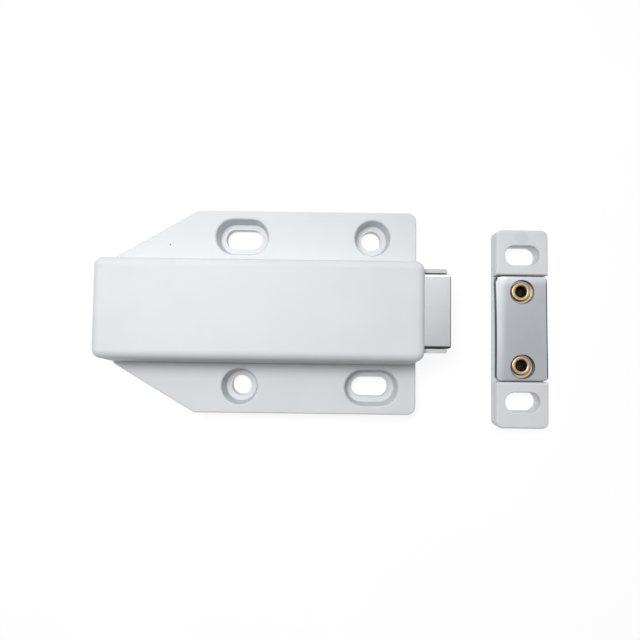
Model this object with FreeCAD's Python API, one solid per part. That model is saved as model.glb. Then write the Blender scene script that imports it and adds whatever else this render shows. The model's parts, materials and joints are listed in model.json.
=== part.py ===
import FreeCAD, Part
import math
import os

V = FreeCAD.Vector

# ---------------------------------------------------------------- dimensions, mm
# frame: origin in the centre of the screw hole pattern on the mounting face,
# +X along the plunger towards its tip, +Z off the mounting face

# screw flange
HOLE_DX = 28.0            # hole pattern, along the housing
HOLE_DY = 32.0            # hole pattern, across the housing
HOLE_R = 2.15             # screw clearance
RIM_R = 3.8               # counterbore at the face
CBORE_R = 3.28            # counterbore at its floor
CBORE_Z = 2.0             # floor of the counterbore
SLOT_HALF = 1.86          # half the distance between a slot's end centres
FLANGE_T = 5.0
FLANGE_W = 43.2
FLANGE_XR = 23.4
FLANGE_XL = -23.5
FLANGE_ANGLE = 30.3       # of the slanting ends to the housing, degrees
FLANGE_REACH = 17.4       # of the slanting ends, up to the rear corners of the box
FLANGE_CORNER_R = 1.8
FLANGE_EDGE_R = 0.35
RIM_EDGE_R = 0.45

# housing box: an upright skirt beside the flange, tapered walls above it
BOX_H = 13.5
BOX_XL_TOP, BOX_XL_FOOT = -41.7, -41.85
BOX_XR_TOP, BOX_XR_FOOT = 23.5, 23.6
BOX_HALF_TOP, BOX_HALF_FOOT = 9.7, 11.1
BOX_CORNER_FRONT_R = 2.0
BOX_CORNER_REAR_R = 1.75
BOX_EDGE_R = 1.7
SKIRT_INSET = 0.05
CAV_XL, CAV_XR = -40.3, 21.9
CAV_HALF = 8.93
CAV_TOP = 12.0
MOUTH_HALF = 8.9
MOUTH_Z0, MOUTH_Z1 = 3.2, 11.3
MOUTH_R = 0.7
REBATE_XL = -40.8
REBATE_HALF = 9.6
REBATE_Z = 2.55
NIB_HALF_IN = 9.25
NIB_Z = 0.45
NIB_X = (-26.0, 10.0)
NIB_L = 4.0
SPIGOT_R = 1.6
SPIGOT_END = -31.0

# base cover
COVER_Z0, COVER_Z1 = 0.5, 2.5
COVER_XL, COVER_XR = -40.7, 21.8
COVER_HALF = 9.5

# plunger
TIP_X = 29.2
PACK_REAR = 5.5
PLATE_HALF = 7.49
PLATE_Y = 0.15            # middle of the plates across the plunger
PLATE_T = 1.2
PACK_Z0 = 3.4             # underside of the lower pole plate
MAGNET_T = 5.0
MAGNET_X0, MAGNET_X1 = 11.0, 28.9
MAGNET_HALF = 7.2
PLATE_BEVEL = 0.62        # width of the rounded long edges
PLATE_BEVEL_END = 42.0    # their slope where they end, degrees
PLATE_FRONT_R = 0.25      # front edge
PLATE_CORNER_R = 0.75
CARRIER_HALF = 8.46
CARRIER_Y = 0.22          # sideways play taken up to one side
CHEEK_IN = 7.62
CHEEK_TOP = 10.6
CHEEK_TIP = 28.4
CARRIER_REAR = -16.5
CARRIER_FACE = 5.4
CARRIER_TOP = 11.7
CAM_Z = 3.85              # underside of the carrier above the follower's arm
RUNNER_Z = 2.75
RUNNER_TIP = 21.8
BRIDGE_X = 10.8
RIVET_R = 1.0
RIVET_HOLE_R = 1.05
RIVET_HEAD_R = 1.8
RIVET_HEAD_H = 0.3
RIVET_X, RIVET_Y = 8.2, 4.5

# plunger spring
SPRING_Z = 7.3
SPRING_MEAN_R = 2.25
SPRING_WIRE_R = 0.35
SPRING_TURNS = 11
SPRING_SEAT_X = -11.5
SPRING_POCKET_R = 2.9

# cam and follower
FOLLOWER_R = 0.5
FOLLOWER_PIVOT_X = -25.0
FOLLOWER_TIP_X = -10.0
FOLLOWER_ARM_Z = 3.15
FOLLOWER_BEND = 0.65
FOLLOWER_FOOT_Z = 0.62
FOLLOWER_TOP_Z = 5.45
FOLLOWER_HOLE_R = 0.55
CAM_DEPTH = 2.0

# strike
STRIKE_X, STRIKE_Y = 47.05, -2.92
STRIKE_HALF_W, STRIKE_HALF_L = 5.7, 21.65
STRIKE_H = 3.1
STRIKE_CORNER_R = 1.5
STRIKE_EDGE_R = 0.5
STRIKE_RECESS_HALF = 11.68
STRIKE_RECESS_Z = 1.0
STRIKE_SLOT_R = 2.12
STRIKE_SLOT_HALF = 1.66
STRIKE_SLOT_V = 16.0
EYELET_X, EYELET_Y0, EYELET_V = 47.05, -2.92, 8.1
EYELET_R = 1.5
EYELET_BORE_R = 1.15
EYELET_BORE_Z = 0.4       # floor of the bore
EYELET_HOLE_R = 1.55
EYELET_HEAD_R = 2.12
EYELET_HEAD_Z0, EYELET_HEAD_Z1 = 1.95, 2.5
EYELET_FOOT_R = 2.2
EYELET_FOOT_Z0, EYELET_FOOT_Z1 = 0.1, 0.45
SPLATE_HALF_W, SPLATE_HALF_L = 5.6, 11.5
SPLATE_WAIST, SPLATE_WAIST_RIGHT = 0.17, 0.03
SPLATE_Z0, SPLATE_Z1 = 1.05, 2.5
SPLATE_WEB = 0.6
SPLATE_CBORE_R = 2.58
SPLATE_HOLE_R = 1.9
SPLATE_HOLE_V = 8.2
SPLATE_CORNER_R = 1.05
SPLATE_ROLL = 2.1         # width of the rim that rolls off, on two sides
SPLATE_ROLL_R = 10.0
SPLATE_ROLL_CORNER = 2.6  # radius of the rim's path at the corner between them
SPLATE_NIP, SPLATE_NIP_H = 0.3, 0.15    # broken edge on the other two sides
SPLATE_DX, SPLATE_DY, SPLATE_TURN = 0.2, 0.08, 0.5
SPLATE_HOLE_DY = -0.2     # of the hole pair from the middle of the plate


# ---------------------------------------------------------------- helpers
def box(x0, x1, y0, y1, z0, z1):
    return Part.makeBox(x1 - x0, y1 - y0, z1 - z0, V(x0, y0, z0))


def prism(points, z0, z1):
    pts = [V(x, y, z0) for x, y in points]
    return Part.Face(Part.makePolygon(pts + [pts[0]])).extrude(V(0, 0, z1 - z0))


def cyl_z(x, y, r, z0, z1):
    return Part.makeCylinder(r, z1 - z0, V(x, y, z0))


def cyl_x(x0, x1, y, z, r):
    return Part.makeCylinder(r, x1 - x0, V(x0, y, z), V(1, 0, 0))


def slot_z(x, y, half, r, z0, z1):
    s = box(x - half, x + half, y - r, y + r, z0, z1)
    return s.fuse([cyl_z(x - half, y, r, z0, z1), cyl_z(x + half, y, r, z0, z1)]).removeSplitter()


def cone_z(x, y, r0, r1, z0, z1):
    return Part.makeCone(r0, r1, z1 - z0, V(x, y, z0))


def round_edges(shape, r, pick):
    edges = [e for e in shape.Edges if pick(e)]
    return shape.makeFillet(r, edges)


def is_upright(e):
    b = e.BoundBox
    return b.ZLength > 1e-3 and b.XLength < 0.45 and b.YLength < 0.45


def is_at_z(e, z):
    b = e.BoundBox
    return abs(b.ZMin - z) < 1e-4 and abs(b.ZMax - z) < 1e-4


def one_solid(shape):
    shape = shape.removeSplitter()
    assert len(shape.Solids) == 1, len(shape.Solids)
    return shape.Solids[0]


# ---------------------------------------------------------------- housing
def make_flange():
    h = FLANGE_W / 2.0
    y_end = h - FLANGE_REACH * math.tan(math.radians(FLANGE_ANGLE))
    x_end = FLANGE_XL - FLANGE_REACH
    f = prism([(FLANGE_XR, -h), (FLANGE_XR, h), (FLANGE_XL, h), (x_end, y_end),
               (x_end, -y_end), (FLANGE_XL, -h)], 0, FLANGE_T)
    f = round_edges(f, FLANGE_CORNER_R, lambda e: is_upright(e) and e.CenterOfMass.x > 20)
    f = round_edges(f, 1.0, lambda e: is_upright(e) and abs(e.CenterOfMass.y) > 20
                    and e.CenterOfMass.x < -20)
    f = round_edges(f, FLANGE_EDGE_R, lambda e: is_at_z(e, FLANGE_T))
    return f


def is_wall_corner(e):
    b = e.BoundBox
    return b.ZLength > 4 and b.XLength < 0.45 and b.YLength < 2


def make_box_shell():
    w = Part.makeWedge(BOX_XL_FOOT, FLANGE_T, -BOX_HALF_FOOT, -BOX_HALF_TOP, BOX_XL_TOP,
                       BOX_XR_FOOT, BOX_H, BOX_HALF_FOOT, BOX_HALF_TOP, BOX_XR_TOP)
    w = Part.Solid(w) if w.ShapeType != "Solid" else w
    w.rotate(V(0, 0, 0), V(1, 0, 0), 90)
    w = round_edges(w, BOX_CORNER_FRONT_R, lambda e: is_wall_corner(e) and e.CenterOfMass.x > 0)
    w = round_edges(w, BOX_CORNER_REAR_R, lambda e: is_wall_corner(e) and e.CenterOfMass.x < -41)
    w = round_edges(w, BOX_EDGE_R, lambda e: is_at_z(e, BOX_H))
    d = SKIRT_INSET
    s = box(BOX_XL_FOOT + d, BOX_XR_FOOT - d, -BOX_HALF_FOOT + d, BOX_HALF_FOOT - d,
            0, FLANGE_T + 0.2)
    s = round_edges(s, BOX_CORNER_FRONT_R, lambda e: is_upright(e) and e.CenterOfMass.x > 0)
    s = round_edges(s, BOX_CORNER_REAR_R, lambda e: is_upright(e) and e.CenterOfMass.x < 0)
    return [w, s]


def screw_cutter(x, y, slotted):
    over = 1.0
    slope = (RIM_R - CBORE_R) / (FLANGE_T - CBORE_Z)
    r0, r1 = CBORE_R, RIM_R + over * slope
    z0, z1 = CBORE_Z, FLANGE_T + over
    if not slotted:
        return cyl_z(x, y, HOLE_R, -1, FLANGE_T).fuse(
            cone_z(x, y, r0, r1, z0, z1)).removeSplitter()
    c = slot_z(x, y, SLOT_HALF, HOLE_R, -1, FLANGE_T)
    p = [V(x - SLOT_HALF, y - r0, z0), V(x - SLOT_HALF, y + r0, z0),
         V(x - SLOT_HALF, y + r1, z1), V(x - SLOT_HALF, y - r1, z1)]
    mid = Part.Face(Part.makePolygon(p + [p[0]])).extrude(V(2 * SLOT_HALF, 0, 0))
    ends = [cone_z(x + s * SLOT_HALF, y, r0, r1, z0, z1) for s in (-1, 1)]
    return c.fuse([mid] + ends).removeSplitter()


def make_housing():
    flange = make_flange()
    hx, hy = HOLE_DX / 2.0, HOLE_DY / 2.0
    for x, y, slotted in ((-hx, hy, True), (hx, hy, False), (-hx, -hy, False), (hx, -hy, True)):
        flange = flange.cut(screw_cutter(x, y, slotted))
        flange = round_edges(flange, RIM_EDGE_R,
                             lambda e: is_at_z(e, FLANGE_T)
                             and abs(e.CenterOfMass.x - x) < 6 and abs(e.CenterOfMass.y - y) < 4.2)
    h = flange.fuse(make_box_shell()).removeSplitter()
    h = h.cut(box(CAV_XL, CAV_XR, -CAV_HALF, CAV_HALF, -1, CAV_TOP))
    h = h.cut(box(REBATE_XL, CAV_XR, -REBATE_HALF, REBATE_HALF, -1, REBATE_Z))
    mouth = box(CAV_XR - 1, BOX_XR_FOOT + 2, -MOUTH_HALF, MOUTH_HALF, MOUTH_Z0, MOUTH_Z1)
    mouth = round_edges(mouth, MOUTH_R, lambda e: e.BoundBox.XLength > 1)
    h = h.cut(mouth)
    spigot = cyl_x(CAV_XL - 0.5, SPIGOT_END, 0, SPRING_Z, SPIGOT_R)
    spigot = round_edges(spigot, 0.5, lambda e: abs(e.BoundBox.XMin - SPIGOT_END) < 1e-4)
    extra = [spigot]
    for x in NIB_X:
        for s in (-1, 1):
            y0, y1 = sorted((s * NIB_HALF_IN, s * (REBATE_HALF + 0.2)))
            extra.append(box(x - NIB_L / 2, x + NIB_L / 2, y0, y1, 0.05, NIB_Z))
    return one_solid(h.fuse(extra))


def make_base_cover():
    c = box(COVER_XL, COVER_XR, -COVER_HALF, COVER_HALF, COVER_Z0, COVER_Z1)
    c = round_edges(c, 0.6, is_upright)
    return one_solid(c.cut(cyl_z(FOLLOWER_PIVOT_X, 0, FOLLOWER_HOLE_R, 0, 3)))


# ---------------------------------------------------------------- plunger
PACK_Z1 = PACK_Z0 + PLATE_T                 # magnet underside
PACK_Z2 = PACK_Z1 + MAGNET_T                # magnet top
PACK_Z3 = PACK_Z2 + PLATE_T                 # top of the upper pole plate


def cam_cutter():
    # heart-shaped track: a kite-shaped pocket with an arrowhead island
    outer = [(-10.9, -0.9), (-9.9, -1.0), (-5.6, -3.05), (-4.6, -3.05),
             (-4.6, 3.05), (-5.6, 3.05), (-9.9, 1.0), (-10.9, 0.9)]
    island = [(-8.2, 0.0), (-6.2, -0.95), (-7.3, 0.0), (-6.2, 0.95)]
    pocket = prism(outer, CAM_Z - 2.0, CAM_Z + CAM_DEPTH)
    pocket = round_edges(pocket, 0.4, is_upright)
    return pocket.cut(prism(island, CAM_Z - 3.0, CAM_Z + CAM_DEPTH + 1.0))


def make_carrier():
    parts = [box(CARRIER_REAR, CARRIER_FACE, CARRIER_Y - CARRIER_HALF, CARRIER_Y + CARRIER_HALF,
                 CAM_Z, CARRIER_TOP),
             box(CARRIER_FACE, BRIDGE_X, CARRIER_Y - CHEEK_IN, CARRIER_Y + CHEEK_IN, PACK_Z1, PACK_Z2)]
    parts[0] = round_edges(parts[0], 0.5, is_upright)
    cheeks = []
    for s in (-1, 1):
        y0, y1 = sorted((CARRIER_Y + s * CHEEK_IN, CARRIER_Y + s * CARRIER_HALF))
        cheek = box(CARRIER_FACE - 1, CHEEK_TIP, y0, y1, CAM_Z, CHEEK_TOP)
        cheek = round_edges(cheek, 0.4, lambda e: is_upright(e) and e.CenterOfMass.x > 20
                            and abs(e.CenterOfMass.y) > 8)
        cheek = round_edges(cheek, 0.1, lambda e: is_at_z(e, CHEEK_TOP)
                            and e.CenterOfMass.x > CARRIER_FACE)
        cheeks.append(cheek)
        cheeks.append(box(CARRIER_REAR + 0.5, RUNNER_TIP, y0, y1, RUNNER_Z, CAM_Z + 0.3))
    c = parts[0].fuse(parts[1:] + cheeks).removeSplitter()
    c = c.cut(cyl_x(CARRIER_REAR - 1, SPRING_SEAT_X, 0, SPRING_Z, SPRING_POCKET_R))
    c = c.cut(cam_cutter())
    for s in (-1, 1):
        c = c.cut(cyl_z(RIVET_X, s * RIVET_Y, RIVET_HOLE_R, 0, 14))
    return one_solid(c)


def make_pole_plate(z0, outer_z):
    # section across the plunger: both long outer edges roll off
    w = PLATE_HALF
    zi = z0 if outer_z > z0 else z0 + PLATE_T
    u = 1.0 if outer_z > z0 else -1.0
    end = math.radians(PLATE_BEVEL_END)
    r = PLATE_BEVEL / math.sin(end)
    drop, mid = r * (1 - math.cos(end)), r * (1 - math.cos(end / 2))
    y0, ym = w - PLATE_BEVEL, w - PLATE_BEVEL + r * math.sin(end / 2)
    x = PACK_REAR
    a, b = V(x, -w, zi), V(x, w, zi)
    c, cm, d = V(x, w, outer_z - u * drop), V(x, ym, outer_z - u * mid), V(x, y0, outer_z)
    e, em, f = V(x, -y0, outer_z), V(x, -ym, outer_z - u * mid), V(x, -w, outer_z - u * drop)
    wire = Part.Wire([Part.LineSegment(a, b).toShape(), Part.LineSegment(b, c).toShape(),
                      Part.Arc(c, cm, d).toShape(), Part.LineSegment(d, e).toShape(),
                      Part.Arc(e, em, f).toShape(), Part.LineSegment(f, a).toShape()])
    p = Part.Face(wire).extrude(V(TIP_X - PACK_REAR, 0, 0))
    # front edge: a narrow flat, then the corners rounded in plan
    t = PLATE_FRONT_R
    nip = Part.Face(Part.makePolygon([V(TIP_X - t, -w - 1, outer_z + u), V(TIP_X + 1, -w - 1, outer_z + u),
                                      V(TIP_X + 1, -w - 1, outer_z - u * t), V(TIP_X, -w - 1, outer_z - u * t),
                                      V(TIP_X - t * 0.35, -w - 1, outer_z - u * t * 0.35),
                                      V(TIP_X - t, -w - 1, outer_z), V(TIP_X - t, -w - 1, outer_z + u)]))
    p = p.cut(nip.extrude(V(0, 2 * w + 2, 0)))
    plan = box(PACK_REAR - 1, TIP_X, -w, w, z0 - 1, z0 + PLATE_T + 1)
    plan = round_edges(plan, PLATE_CORNER_R, lambda g: is_upright(g) and g.CenterOfMass.x > 20)
    p = p.common(plan)
    p.translate(V(0, PLATE_Y, 0))
    for s in (-1, 1):
        p = p.cut(cyl_z(RIVET_X, s * RIVET_Y, RIVET_HOLE_R, 0, 14))
    return one_solid(p)


def make_magnet():
    m = box(MAGNET_X0, MAGNET_X1, -MAGNET_HALF, MAGNET_HALF, PACK_Z1, PACK_Z2)
    return one_solid(round_edges(m, 0.4, is_upright))


def make_rivets():
    out = []
    for s in (-1, 1):
        x, y = RIVET_X, s * RIVET_Y
        head = cyl_z(x, y, RIVET_HEAD_R, PACK_Z3, PACK_Z3 + RIVET_HEAD_H)
        head = round_edges(head, 0.25, lambda e: is_at_z(e, PACK_Z3 + RIVET_HEAD_H))
        foot = cyl_z(x, y, RIVET_HEAD_R, PACK_Z0 - RIVET_HEAD_H, PACK_Z0)
        foot = round_edges(foot, 0.25, lambda e: is_at_z(e, PACK_Z0 - RIVET_HEAD_H))
        out.append(one_solid(cyl_z(x, y, RIVET_R, PACK_Z0, PACK_Z3).fuse([head, foot])))
    return Part.makeCompound(out)


def make_spring():
    x0 = CAV_XL + SPRING_WIRE_R + 0.05
    x1 = SPRING_SEAT_X - SPRING_WIRE_R - 0.05
    length = x1 - x0
    helix = Part.makeHelix(length / SPRING_TURNS, length, SPRING_MEAN_R)
    rise = length / SPRING_TURNS / (2 * math.pi)
    circle = Part.Wire(Part.makeCircle(SPRING_WIRE_R, V(SPRING_MEAN_R, 0, 0),
                                       V(0, SPRING_MEAN_R, rise)))
    s = Part.Wire(helix.Edges).makePipeShell([circle], True, True)
    s = Part.Solid(s) if s.ShapeType != "Solid" else s
    s.rotate(V(0, 0, 0), V(0, 1, 0), 90)
    s.translate(V(x0, 0, SPRING_Z))
    return s


def make_follower():
    b = FOLLOWER_BEND
    xp, xt, za = FOLLOWER_PIVOT_X, FOLLOWER_TIP_X, FOLLOWER_ARM_Z
    k = b * (1 - math.sqrt(0.5))
    p0, p1 = V(xp, 0, FOLLOWER_FOOT_Z), V(xp, 0, za - b)
    m1, p2 = V(xp + k, 0, za - k), V(xp + b, 0, za)
    p3, m2, p4 = V(xt - b, 0, za), V(xt - k, 0, za + k), V(xt, 0, za + b)
    p5 = V(xt, 0, FOLLOWER_TOP_Z)
    path = Part.Wire([Part.LineSegment(p0, p1).toShape(), Part.Arc(p1, m1, p2).toShape(),
                      Part.LineSegment(p2, p3).toShape(), Part.Arc(p3, m2, p4).toShape(),
                      Part.LineSegment(p4, p5).toShape()])
    circle = Part.Wire(Part.makeCircle(FOLLOWER_R, p0, V(0, 0, 1)))
    s = path.makePipeShell([circle], True, True)
    s = Part.Solid(s) if s.ShapeType != "Solid" else s
    return s


# ---------------------------------------------------------------- strike
def make_strike_block():
    x, y = STRIKE_X, STRIKE_Y
    b = box(x - STRIKE_HALF_W, x + STRIKE_HALF_W, y - STRIKE_HALF_L, y + STRIKE_HALF_L,
            0, STRIKE_H)
    b = round_edges(b, STRIKE_CORNER_R, is_upright)
    b = b.cut(box(x - 9, x + 9, y - STRIKE_RECESS_HALF, y + STRIKE_RECESS_HALF,
                  STRIKE_RECESS_Z, STRIKE_H + 1))
    b = round_edges(b, STRIKE_EDGE_R, lambda e: is_at_z(e, STRIKE_H))
    b = round_edges(b, 0.3, lambda e: is_at_z(e, STRIKE_RECESS_Z) and e.BoundBox.YLength > 10)
    for s in (-1, 1):
        b = b.cut(slot_z(x, y + s * STRIKE_SLOT_V, STRIKE_SLOT_HALF, STRIKE_SLOT_R,
                         -1, STRIKE_H + 1))
        b = round_edges(b, 0.3, lambda e: is_at_z(e, STRIKE_H)
                        and abs(e.CenterOfMass.x - x) < 3.9
                        and abs(e.CenterOfMass.y - y - s * STRIKE_SLOT_V) < 2.3)
        ye = EYELET_Y0 + s * EYELET_V
        b = b.cut(cyl_z(EYELET_X, ye, EYELET_HOLE_R, -1, STRIKE_H + 1))
        b = b.cut(cyl_z(EYELET_X, ye, EYELET_FOOT_R + 0.3, -1, EYELET_FOOT_Z1))
    return one_solid(b)


def rim_cutters(w, l):
    # what comes off the top of the plate: its left and upper rim roll off and run
    # round the corner between them, its right and lower edges are broken
    r, full, z1, top = SPLATE_ROLL_R, SPLATE_ROLL + 1.2, SPLATE_Z1, SPLATE_Z1 + 1
    start = SPLATE_ROLL_CORNER - SPLATE_ROLL
    xc, yc = -w + SPLATE_ROLL_CORNER, l - SPLATE_ROLL_CORNER

    def drop(d):
        return z1 - (r - math.sqrt(r * r - d * d))

    a, m, b = V(-start, 0, z1), V(-start - full / 2, 0, drop(full / 2)), V(-start - full, 0, drop(full))
    c, d = V(-start - full, 0, top), V(-start, 0, top)
    face = Part.Face(Part.Wire([Part.Arc(a, m, b).toShape(), Part.LineSegment(b, c).toShape(),
                                Part.LineSegment(c, d).toShape(), Part.LineSegment(d, a).toShape()]))
    left = face.extrude(V(0, -2 * l - 2, 0))
    corner = face.revolve(V(0, 0, 0), V(0, 0, 1), -90)
    upper = face.copy()
    upper.rotate(V(0, 0, 0), V(0, 0, 1), -90)
    upper = upper.extrude(V(2 * w + 2, 0, 0))
    rim = left.fuse([corner, upper]).removeSplitter()
    rim.translate(V(xc, yc, 0))
    n, h = SPLATE_NIP, SPLATE_NIP_H
    right = Part.Face(Part.makePolygon([V(w - n, -2 * l, z1), V(w + n, -2 * l, z1 - 2 * h), V(w + n, -2 * l, top),
                                        V(w - n, -2 * l, top), V(w - n, -2 * l, z1)])).extrude(V(0, 4 * l, 0))
    lower = Part.Face(Part.makePolygon([V(-2 * w, -l + n, z1), V(-2 * w, -l - n, z1 - 2 * h), V(-2 * w, -l - n, top),
                                        V(-2 * w, -l + n, top), V(-2 * w, -l + n, z1)])).extrude(V(4 * w, 0, 0))
    return [rim, right, lower]


def make_strike_plate():
    w, l = SPLATE_HALF_W, SPLATE_HALF_L
    z = SPLATE_Z0
    a, b, c, d = V(-w, -l, z), V(w, -l, z), V(w, l, z), V(-w, l, z)
    wire = Part.Wire([Part.LineSegment(a, b).toShape(),
                      Part.Arc(b, V(w - SPLATE_WAIST_RIGHT, 0, z), c).toShape(),
                      Part.LineSegment(c, d).toShape(),
                      Part.Arc(d, V(-w + SPLATE_WAIST, 0, z), a).toShape()])
    p = Part.Face(wire).extrude(V(0, 0, SPLATE_Z1 - SPLATE_Z0))
    p = round_edges(p, SPLATE_CORNER_R, is_upright)
    for cutter in rim_cutters(w, l):
        p = p.cut(cutter)
    p = p.removeSplitter()
    for s in (-1, 1):
        y = SPLATE_HOLE_DY + s * SPLATE_HOLE_V
        p = p.cut(cyl_z(0, y, SPLATE_HOLE_R, 0, 20))
        p = p.cut(cyl_z(0, y, SPLATE_CBORE_R, SPLATE_Z0 + SPLATE_WEB, 20))
        p = p.cut(cone_z(0, y, SPLATE_CBORE_R, SPLATE_CBORE_R + 0.2,
                         SPLATE_Z1 - 0.1, SPLATE_Z1 + 0.1))
    p.rotate(V(0, 0, 0), V(0, 0, 1), SPLATE_TURN)
    p.translate(V(EYELET_X + SPLATE_DX, EYELET_Y0 + SPLATE_DY, 0))
    return one_solid(p)


def make_eyelets():
    out = []
    for s in (-1, 1):
        x, y = EYELET_X, EYELET_Y0 + s * EYELET_V
        e = cyl_z(x, y, EYELET_R, EYELET_FOOT_Z0, EYELET_HEAD_Z1)
        head = cyl_z(x, y, EYELET_HEAD_R, EYELET_HEAD_Z0, EYELET_HEAD_Z1)
        head = round_edges(head, 0.34, lambda g: is_at_z(g, EYELET_HEAD_Z1))
        head = round_edges(head, 0.15, lambda g: is_at_z(g, EYELET_HEAD_Z0))
        foot = cyl_z(x, y, EYELET_FOOT_R, EYELET_FOOT_Z0, EYELET_FOOT_Z1)
        e = e.fuse([head, foot]).removeSplitter()
        e = e.cut(cyl_z(x, y, EYELET_BORE_R, EYELET_BORE_Z, 12))
        e = round_edges(e, 0.42, lambda g: is_at_z(g, EYELET_HEAD_Z1)
                        and abs(g.BoundBox.XLength - 2 * EYELET_BORE_R) < 0.05)
        out.append(one_solid(e))
    return Part.makeCompound(out)


# ---------------------------------------------------------------- output
NODES = {
    "housing": make_housing,
    "base_cover": make_base_cover,
    "plunger_carrier": make_carrier,
    "magnet": make_magnet,
    "pole_plate_upper": lambda: make_pole_plate(PACK_Z2, PACK_Z3),
    "pole_plate_lower": lambda: make_pole_plate(PACK_Z0, PACK_Z0),
    "pole_rivets": make_rivets,
    "plunger_spring": make_spring,
    "cam_follower": make_follower,
    "strike_block": make_strike_block,
    "strike_plate": make_strike_plate,
    "strike_eyelets": make_eyelets,
}

os.makedirs("parts", exist_ok=True)
for name, make in NODES.items():
    shape = make()
    shape.exportStep("parts/%s.step" % name)
    print(name, "solids", len(shape.Solids), "valid", shape.isValid(),
          "volume %.2f mm3" % shape.Volume)
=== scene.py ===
import json
import math

import bmesh
import bpy
from mathutils import Matrix, Vector


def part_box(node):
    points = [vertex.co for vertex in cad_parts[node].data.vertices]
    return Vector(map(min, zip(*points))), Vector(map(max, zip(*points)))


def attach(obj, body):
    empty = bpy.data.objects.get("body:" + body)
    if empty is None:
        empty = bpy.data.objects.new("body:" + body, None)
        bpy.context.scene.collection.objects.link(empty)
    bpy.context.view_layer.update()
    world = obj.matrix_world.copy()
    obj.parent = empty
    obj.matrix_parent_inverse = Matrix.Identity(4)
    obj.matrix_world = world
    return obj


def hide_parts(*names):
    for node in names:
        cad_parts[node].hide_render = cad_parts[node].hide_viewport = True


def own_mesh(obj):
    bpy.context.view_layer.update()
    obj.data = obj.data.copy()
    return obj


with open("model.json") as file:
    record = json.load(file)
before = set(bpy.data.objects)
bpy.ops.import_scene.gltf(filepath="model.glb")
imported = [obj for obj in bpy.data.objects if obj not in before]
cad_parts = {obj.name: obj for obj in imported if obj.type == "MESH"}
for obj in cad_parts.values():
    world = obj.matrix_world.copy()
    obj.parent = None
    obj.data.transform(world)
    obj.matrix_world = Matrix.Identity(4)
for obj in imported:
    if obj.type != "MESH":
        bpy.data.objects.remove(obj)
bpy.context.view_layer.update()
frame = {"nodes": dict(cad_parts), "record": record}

nodes = frame["nodes"]
scene = bpy.context.scene
MM = 0.001


# ------------------------------------------------------------------ node helpers
def new_material(name):
    m = bpy.data.materials.new(name)
    m.use_nodes = True
    nt = m.node_tree
    nt.nodes.clear()
    out = nt.nodes.new("ShaderNodeOutputMaterial")
    bsdf = nt.nodes.new("ShaderNodeBsdfPrincipled")
    nt.links.new(bsdf.outputs["BSDF"], out.inputs["Surface"])
    return m, nt, bsdf


def object_coords(nt, scale=(1, 1, 1), loc=(0, 0, 0)):
    tc = nt.nodes.new("ShaderNodeTexCoord")
    mp = nt.nodes.new("ShaderNodeMapping")
    mp.inputs["Scale"].default_value = scale
    mp.inputs["Location"].default_value = loc
    nt.links.new(tc.outputs["Object"], mp.inputs["Vector"])
    return mp.outputs["Vector"]


def noise(nt, vec, scale, detail=2.0, rough=0.5, distortion=0.0):
    n = nt.nodes.new("ShaderNodeTexNoise")
    n.inputs["Scale"].default_value = scale
    n.inputs["Detail"].default_value = detail
    n.inputs["Roughness"].default_value = rough
    n.inputs["Distortion"].default_value = distortion
    nt.links.new(vec, n.inputs["Vector"])
    return n.outputs["Fac"]


def remap(nt, val, a, b, lo=0.0, hi=1.0, smooth=False):
    r = nt.nodes.new("ShaderNodeMapRange")
    r.interpolation_type = "SMOOTHSTEP" if smooth else "LINEAR"
    r.inputs["From Min"].default_value = lo
    r.inputs["From Max"].default_value = hi
    r.inputs["To Min"].default_value = a
    r.inputs["To Max"].default_value = b
    nt.links.new(val, r.inputs["Value"])
    return r.outputs["Result"]


def mix_color(nt, fac, a, b):
    m = nt.nodes.new("ShaderNodeMix")
    m.data_type = "RGBA"
    nt.links.new(fac, m.inputs["Factor"])
    ia = [s for s in m.inputs if s.name == "A" and s.type == "RGBA"][0]
    ib = [s for s in m.inputs if s.name == "B" and s.type == "RGBA"][0]
    for sock, v in ((ia, a), (ib, b)):
        if isinstance(v, tuple):
            sock.default_value = v + (1.0,)
        else:
            nt.links.new(v, sock)
    return [s for s in m.outputs if s.type == "RGBA"][0]


def math_node(nt, op, a, b=None):
    m = nt.nodes.new("ShaderNodeMath")
    m.operation = op
    for i, v in enumerate((a, b)):
        if v is None:
            continue
        if isinstance(v, (int, float)):
            m.inputs[i].default_value = v
        else:
            nt.links.new(v, m.inputs[i])
    return m.outputs[0]


def bump(nt, height, strength, distance, normal=None):
    b = nt.nodes.new("ShaderNodeBump")
    b.inputs["Strength"].default_value = strength
    b.inputs["Distance"].default_value = distance
    nt.links.new(height, b.inputs["Height"])
    if normal is not None:
        nt.links.new(normal, b.inputs["Normal"])
    return b.outputs["Normal"]


def radius_from(nt, sep, centre_x, centre_y, pitch):
    # distance from the nearer of two upright axes, one on each side of a centre
    dx = math_node(nt, "SUBTRACT", sep.outputs["X"], centre_x)
    dy = math_node(nt, "SUBTRACT",
                   math_node(nt, "ABSOLUTE", math_node(nt, "SUBTRACT", sep.outputs["Y"], centre_y)), pitch)
    return math_node(nt, "SQRT", math_node(nt, "ADD", math_node(nt, "MULTIPLY", dx, dx),
                                           math_node(nt, "MULTIPLY", dy, dy)))


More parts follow.
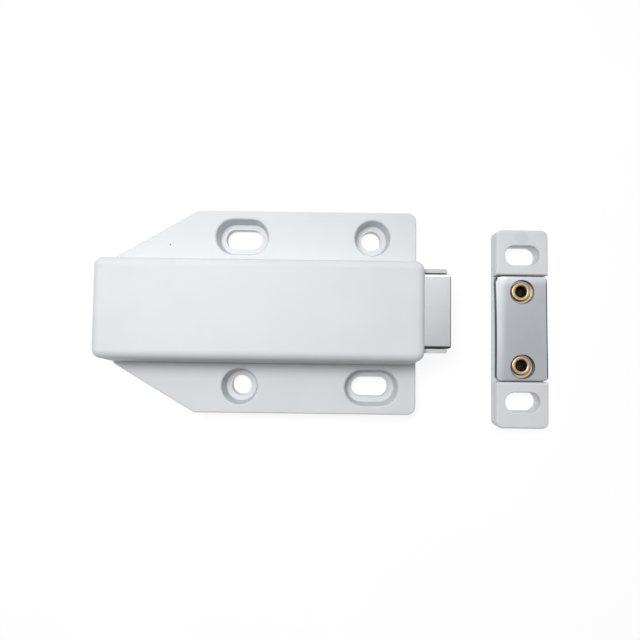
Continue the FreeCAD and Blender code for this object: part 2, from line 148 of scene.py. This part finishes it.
# ------------------------------------------------------------------ materials
def white_plastic(name, light, dark, rough=(0.50, 0.62), speck=None, mark=None, seed=0.0):
    m, nt, bsdf = new_material(name)
    vec = object_coords(nt, loc=(seed, seed * 0.7, seed * 0.3))
    cloud = noise(nt, vec, 90.0, 3.0, 0.55)
    grain = noise(nt, vec, 2600.0, 2.0, 0.6)
    wave = noise(nt, vec, 38.0, 1.0, 0.4)
    col = mix_color(nt, remap(nt, cloud, 0.0, 1.0, 0.35, 0.65, True), dark, light)
    if speck is not None:
        tc = nt.nodes.new("ShaderNodeTexCoord")
        dist = nt.nodes.new("ShaderNodeVectorMath")
        dist.operation = "DISTANCE"
        nt.links.new(tc.outputs["Object"], dist.inputs[0])
        dist.inputs[1].default_value = speck
        wob = math_node(nt, "ADD", dist.outputs["Value"],
                        math_node(nt, "MULTIPLY", math_node(nt, "SUBTRACT", grain, 0.5), 0.00012))
        col = mix_color(nt, remap(nt, wob, 1.0, 0.0, 0.00009, 0.00021, True), col, (0.09, 0.08, 0.07))
    if mark is not None:
        # faint round mark left by an ejector pin
        at, size = mark
        tc = nt.nodes.new("ShaderNodeTexCoord")
        dist = nt.nodes.new("ShaderNodeVectorMath")
        dist.operation = "DISTANCE"
        nt.links.new(tc.outputs["Object"], dist.inputs[0])
        dist.inputs[1].default_value = at
        col = mix_color(nt, remap(nt, dist.outputs["Value"], 1.0, 0.0, size - 0.0001, size + 0.0001, True),
                        col, tuple(0.955 * c for c in dark))
    nt.links.new(col, bsdf.inputs["Base Color"])
    nt.links.new(remap(nt, cloud, rough[0], rough[1], 0.3, 0.7), bsdf.inputs["Roughness"])
    n1 = bump(nt, wave, 0.25, 0.00006)
    n2 = bump(nt, grain, 0.12, 0.000012, n1)
    nt.links.new(n2, bsdf.inputs["Normal"])
    bsdf.inputs["IOR"].default_value = 1.5
    bsdf.inputs["Specular IOR Level"].default_value = 0.25
    return m


def plated_steel(name, light, dark, rough=(0.10, 0.20), streak=(1, 14, 1), shaded_sides=None, holes=None):
    m, nt, bsdf = new_material(name)
    vec = object_coords(nt, scale=streak)
    lines = noise(nt, vec, 420.0, 4.0, 0.6)
    cloud = noise(nt, object_coords(nt), 160.0, 3.0, 0.5)
    col = mix_color(nt, remap(nt, cloud, 0.0, 1.0, 0.3, 0.7, True), dark, light)
    if shaded_sides is not None:
        # painted shade: the plate's cut sides are coloured near-black to stand in for the shadowed gap around the
        # plate
        (cx, cy, hx, hy), (z_dark, z_bright) = shaded_sides
        sep = nt.nodes.new("ShaderNodeSeparateXYZ")
        tc = nt.nodes.new("ShaderNodeTexCoord")
        nt.links.new(tc.outputs["Object"], sep.inputs["Vector"])
        ax = math_node(nt, "DIVIDE", math_node(nt, "ABSOLUTE", math_node(nt, "SUBTRACT", sep.outputs["X"], cx)), hx)
        ay = math_node(nt, "DIVIDE", math_node(nt, "ABSOLUTE", math_node(nt, "SUBTRACT", sep.outputs["Y"], cy)), hy)
        outer = remap(nt, math_node(nt, "MAXIMUM", ax, ay), 0.0, 1.0, 0.99, 1.0, True)
        low = remap(nt, sep.outputs["Z"], 1.0, 0.0, z_dark, z_bright, True)
        col = mix_color(nt, math_node(nt, "MULTIPLY", outer, low), col, (0.07, 0.07, 0.075))
    gloss = remap(nt, lines, rough[0], rough[1], 0.3, 0.7)
    if holes is not None:
        # drilled holes: dull walls and floors; painted shade darkens the hole walls, and the floors are coloured
        # pale
        cx, cy, pitch, radius = holes
        sep = nt.nodes.new("ShaderNodeSeparateXYZ")
        tc = nt.nodes.new("ShaderNodeTexCoord")
        nt.links.new(tc.outputs["Object"], sep.inputs["Vector"])
        r = radius_from(nt, sep, cx, cy, pitch)
        hole_dull_and_shade = remap(nt, r, 1.0, 0.0, radius, radius + 0.00006, True)
        # painted shade: the hole walls are coloured dark grey
        col = mix_color(nt, hole_dull_and_shade, col, (0.19, 0.185, 0.175))
        col = mix_color(nt, remap(nt, r, 1.0, 0.0, radius - 0.00016, radius - 0.0001, True), col, (0.70, 0.68, 0.62))
        gloss = math_node(nt, "ADD", gloss, math_node(nt, "MULTIPLY", hole_dull_and_shade, 0.36))
    nt.links.new(col, bsdf.inputs["Base Color"])
    nt.links.new(gloss, bsdf.inputs["Roughness"])
    n1 = bump(nt, cloud, 0.2, 0.00003)
    nt.links.new(bump(nt, lines, 0.06, 0.000006, n1), bsdf.inputs["Normal"])
    bsdf.inputs["Metallic"].default_value = 1.0
    return m


def plain_metal(name, light, dark, rough, scale=900.0):
    m, nt, bsdf = new_material(name)
    vec = object_coords(nt)
    a = noise(nt, vec, scale, 3.0, 0.6)
    b = noise(nt, vec, scale * 0.2, 2.0, 0.5)
    nt.links.new(mix_color(nt, remap(nt, b, 0.0, 1.0, 0.3, 0.7, True), dark, light),
                 bsdf.inputs["Base Color"])
    nt.links.new(remap(nt, a, rough[0], rough[1], 0.3, 0.7), bsdf.inputs["Roughness"])
    nt.links.new(bump(nt, a, 0.1, 0.00001), bsdf.inputs["Normal"])
    bsdf.inputs["Metallic"].default_value = 1.0
    return m


def eyelet_brass(name, light, dark, rough, centre_x, centre_y, pitch):
    # bright lip; painted shade: the bore is coloured near-black
    m, nt, bsdf = new_material(name)
    vec = object_coords(nt)
    a = noise(nt, vec, 900.0, 3.0, 0.6)
    b = noise(nt, vec, 420.0, 2.0, 0.5)
    col = mix_color(nt, remap(nt, b, 0.0, 1.0, 0.3, 0.7, True), dark, light)
    sep = nt.nodes.new("ShaderNodeSeparateXYZ")
    tc = nt.nodes.new("ShaderNodeTexCoord")
    nt.links.new(tc.outputs["Object"], sep.inputs["Vector"])
    r = radius_from(nt, sep, centre_x, centre_y, pitch)
    # painted shade inside the bore, which is also rougher there
    bore_shade = math_node(nt, "MULTIPLY", remap(nt, r, 1.0, 0.0, 0.00122, 0.00138, True),
                     remap(nt, sep.outputs["Z"], 0.0, 1.0, 0.0003, 0.00039))
    nt.links.new(mix_color(nt, bore_shade, col, (0.052, 0.043, 0.040)), bsdf.inputs["Base Color"])
    nt.links.new(math_node(nt, "ADD", remap(nt, a, rough[0], rough[1], 0.3, 0.7),
                           math_node(nt, "MULTIPLY", bore_shade, 0.35)), bsdf.inputs["Roughness"])
    nt.links.new(bump(nt, a, 0.1, 0.00001), bsdf.inputs["Normal"])
    bsdf.inputs["Metallic"].default_value = 1.0
    return m


def ferrite_material(name):
    m, nt, bsdf = new_material(name)
    vec = object_coords(nt)
    a = noise(nt, vec, 1500.0, 4.0, 0.65)
    b = noise(nt, object_coords(nt, scale=(1, 9, 1)), 500.0, 3.0, 0.6)
    nt.links.new(mix_color(nt, remap(nt, a, 0.0, 1.0, 0.35, 0.7), (0.022, 0.022, 0.024),
                           (0.055, 0.055, 0.058)), bsdf.inputs["Base Color"])
    nt.links.new(remap(nt, b, 0.45, 0.7, 0.3, 0.7), bsdf.inputs["Roughness"])
    n1 = bump(nt, b, 0.15, 0.00002)
    nt.links.new(bump(nt, a, 0.25, 0.00002, n1), bsdf.inputs["Normal"])
    return m


MAT = {
    "white_moulding": white_plastic("white_moulding", (0.586, 0.601, 0.617), (0.568, 0.583, 0.599),
                                    speck=(-0.02933, 0.01409, 0.005)),
    "white_slide": white_plastic("white_slide", (0.500, 0.508, 0.514), (0.482, 0.490, 0.496), seed=0.21),
    "white_strike": white_plastic("white_strike", (0.617, 0.630, 0.644), (0.599, 0.612, 0.626), seed=0.47,
                                  mark=((0.04692, 0.01694, 0.0031), 0.00145)),
    "bright_steel": plated_steel("bright_steel", (0.60, 0.61, 0.63), (0.57, 0.58, 0.60)),
    "strike_steel": plated_steel("strike_steel", (0.606, 0.626, 0.660), (0.576, 0.596, 0.630),
                                 rough=(0.12, 0.22), streak=(14, 1, 1),
                                 shaded_sides=((0.04725, -0.00284, 0.0053, 0.0113), (0.00217, 0.00225)),
                                 holes=(0.04725, -0.00304, 0.0082, 0.00264)),
    "plain_steel": plain_metal("plain_steel", (0.58, 0.58, 0.59), (0.48, 0.48, 0.49), (0.22, 0.36)),
    "ferrite": ferrite_material("ferrite"),
    "brass": eyelet_brass("brass", (0.70, 0.505, 0.285), (0.62, 0.43, 0.22), (0.38, 0.50),
                          0.04705, -0.00292, 0.0081),
}

SLOT_OF = {s["node"]: s["material_slot"] for s in frame["record"]["subparts"]}


def dress(obj, material):
    obj.data.materials.clear()
    obj.data.materials.append(material)


for node_name, obj in nodes.items():
    dress(obj, MAT[SLOT_OF[node_name]])


# ------------------------------------------------------------------ plunger spring
def coil(name, x0, x1, z, mean_r, wire_r, turns, per_turn=40, sides=12):
    bm = bmesh.new()
    rings = []
    steps = int(turns * per_turn)
    for i in range(steps + 1):
        a = 2 * math.pi * turns * i / steps
        c = Vector((x0 + (x1 - x0) * i / steps, mean_r * math.sin(a), z - mean_r * math.cos(a)))
        t = Vector(((x1 - x0) / (2 * math.pi * turns), mean_r * math.cos(a), mean_r * math.sin(a))).normalized()
        n = Vector((0, -math.sin(a), math.cos(a)))
        b = t.cross(n)
        rings.append([bm.verts.new(c + wire_r * (math.cos(2 * math.pi * k / sides) * n
                                                 + math.sin(2 * math.pi * k / sides) * b))
                      for k in range(sides)])
    for r0, r1 in zip(rings, rings[1:]):
        for k in range(sides):
            bm.faces.new((r0[k], r0[(k + 1) % sides], r1[(k + 1) % sides], r1[k]))
    bm.faces.new(list(reversed(rings[0])))
    bm.faces.new(rings[-1])
    bmesh.ops.recalc_face_normals(bm, faces=bm.faces)
    for f in bm.faces:
        f.smooth = len(f.verts) == 4
    me = bpy.data.meshes.new(name)
    bm.to_mesh(me)
    bm.free()
    ob = bpy.data.objects.new(name, me)
    scene.collection.objects.link(ob)
    return ob


lo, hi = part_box("plunger_spring")
spring = coil("plunger_coil", lo.x + 0.37 * MM, hi.x - 0.37 * MM, 7.3 * MM, 2.25 * MM, 0.35 * MM, 11)
dress(spring, MAT["plain_steel"])
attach(spring, "latch")
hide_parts("plunger_spring")
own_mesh(spring)


# ------------------------------------------------------------------ floor
def make_floor():
    bm = bmesh.new()
    bmesh.ops.create_grid(bm, x_segments=8, y_segments=8, size=1.5)
    me = bpy.data.meshes.new("floor")
    bm.to_mesh(me)
    bm.free()
    ob = bpy.data.objects.new("floor", me)
    scene.collection.objects.link(ob)
    ob.location = (0, 0, -0.00002)
    m, nt, bsdf = new_material("floor_paper")
    vec = object_coords(nt)
    nt.links.new(mix_color(nt, noise(nt, vec, 30.0, 3.0), (0.13, 0.13, 0.13), (0.15, 0.15, 0.15)),
                 bsdf.inputs["Base Color"])
    bsdf.inputs["Roughness"].default_value = 0.9
    bsdf.inputs["Specular IOR Level"].default_value = 0.1
    bsdf.inputs["Emission Color"].default_value = (1, 1, 1, 1)
    bsdf.inputs["Emission Strength"].default_value = 0.86
    dress(ob, m)


make_floor()


# ------------------------------------------------------------------ light
def area_light(name, pos, target, size, power, size_y=None):
    d = bpy.data.lights.new(name, "AREA")
    d.energy = power
    d.shape = "RECTANGLE"
    d.size = size
    d.size_y = size_y or size
    ob = bpy.data.objects.new(name, d)
    scene.collection.objects.link(ob)
    ob.location = pos
    ob.rotation_euler = (Vector(target) - Vector(pos)).to_track_quat("-Z", "Y").to_euler()
    return ob


area_light("key", (-0.046, 0.041, 0.172), (0.0, 0.0, 0.0), 0.07, 0.246)

world = bpy.data.worlds.new("studio")
scene.world = world
world.use_nodes = True
wnt = world.node_tree
wnt.nodes.clear()
wout = wnt.nodes.new("ShaderNodeOutputWorld")
wbg = wnt.nodes.new("ShaderNodeBackground")
wnt.links.new(wbg.outputs["Background"], wout.inputs["Surface"])
wtc = wnt.nodes.new("ShaderNodeTexCoord")


def sky_patch(direction, lo, hi, strength):
    # soft-edged round patch of light in the sky
    d = wnt.nodes.new("ShaderNodeVectorMath")
    d.operation = "DOT_PRODUCT"
    d.inputs[1].default_value = Vector(direction).normalized()
    wnt.links.new(wtc.outputs["Generated"], d.inputs[0])
    return remap(wnt, d.outputs["Value"], 0.0, strength, lo, hi, True)


wsep = wnt.nodes.new("ShaderNodeSeparateXYZ")
wnt.links.new(wtc.outputs["Generated"], wsep.inputs["Vector"])
ceiling = math_node(wnt, "MULTIPLY", sky_patch((0.25, 0.30, 0.92), 0.50, 0.78, 0.64),
                    remap(wnt, wsep.outputs["Y"], 0.18, 1.0, -0.32, -0.10, True))
lamp = math_node(wnt, "MULTIPLY", sky_patch((-0.10, 0.50, 0.86), 0.74, 0.92, 0.66),
                 remap(wnt, wsep.outputs["Y"], 1.0, 0.0, 0.45, 0.72, True))
side = remap(wnt, math_node(wnt, "ABSOLUTE", math_node(wnt, "SUBTRACT", wsep.outputs["X"], 0.24)),
             1.0, 0.0, 0.08, 0.18, True)
rise = remap(wnt, wsep.outputs["Y"], 0.0, 1.0, 0.35, 0.50, True)
rise = math_node(wnt, "MULTIPLY", rise, remap(wnt, wsep.outputs["Y"], 1.0, 0.40, 0.76, 0.94, True))
window = math_node(wnt, "MULTIPLY", math_node(wnt, "MULTIPLY", side, rise), 1.1)
level = math_node(wnt, "ADD", math_node(wnt, "ADD", ceiling, lamp), math_node(wnt, "ADD", window, 0.05))
wnt.links.new(level, wbg.inputs["Strength"])
wbg.inputs["Color"].default_value = (1, 1, 1, 1)

# ------------------------------------------------------------------ camera
cam_data = bpy.data.cameras.new("photo_camera")
cam_data.sensor_fit = "HORIZONTAL"
cam_data.sensor_width = 36.0
cam_data.lens = 24.3464
cam_data.clip_start = 0.005
cam = bpy.data.objects.new("photo_camera", cam_data)
scene.collection.objects.link(cam)
right = Vector((0.999914, 0.013036, 0.00111))
up = Vector((-0.013068, 0.999261, 0.036136))
back = Vector((-0.000638, -0.036147, 0.999346))
pose = Matrix((right, up, back)).transposed().to_4x4()
pose.translation = Vector((2.8755, -5.0217, 97.1874)) * MM
cam.matrix_world = pose
scene.camera = cam

scene.view_settings.view_transform = "Standard"
scene.view_settings.look = "None"
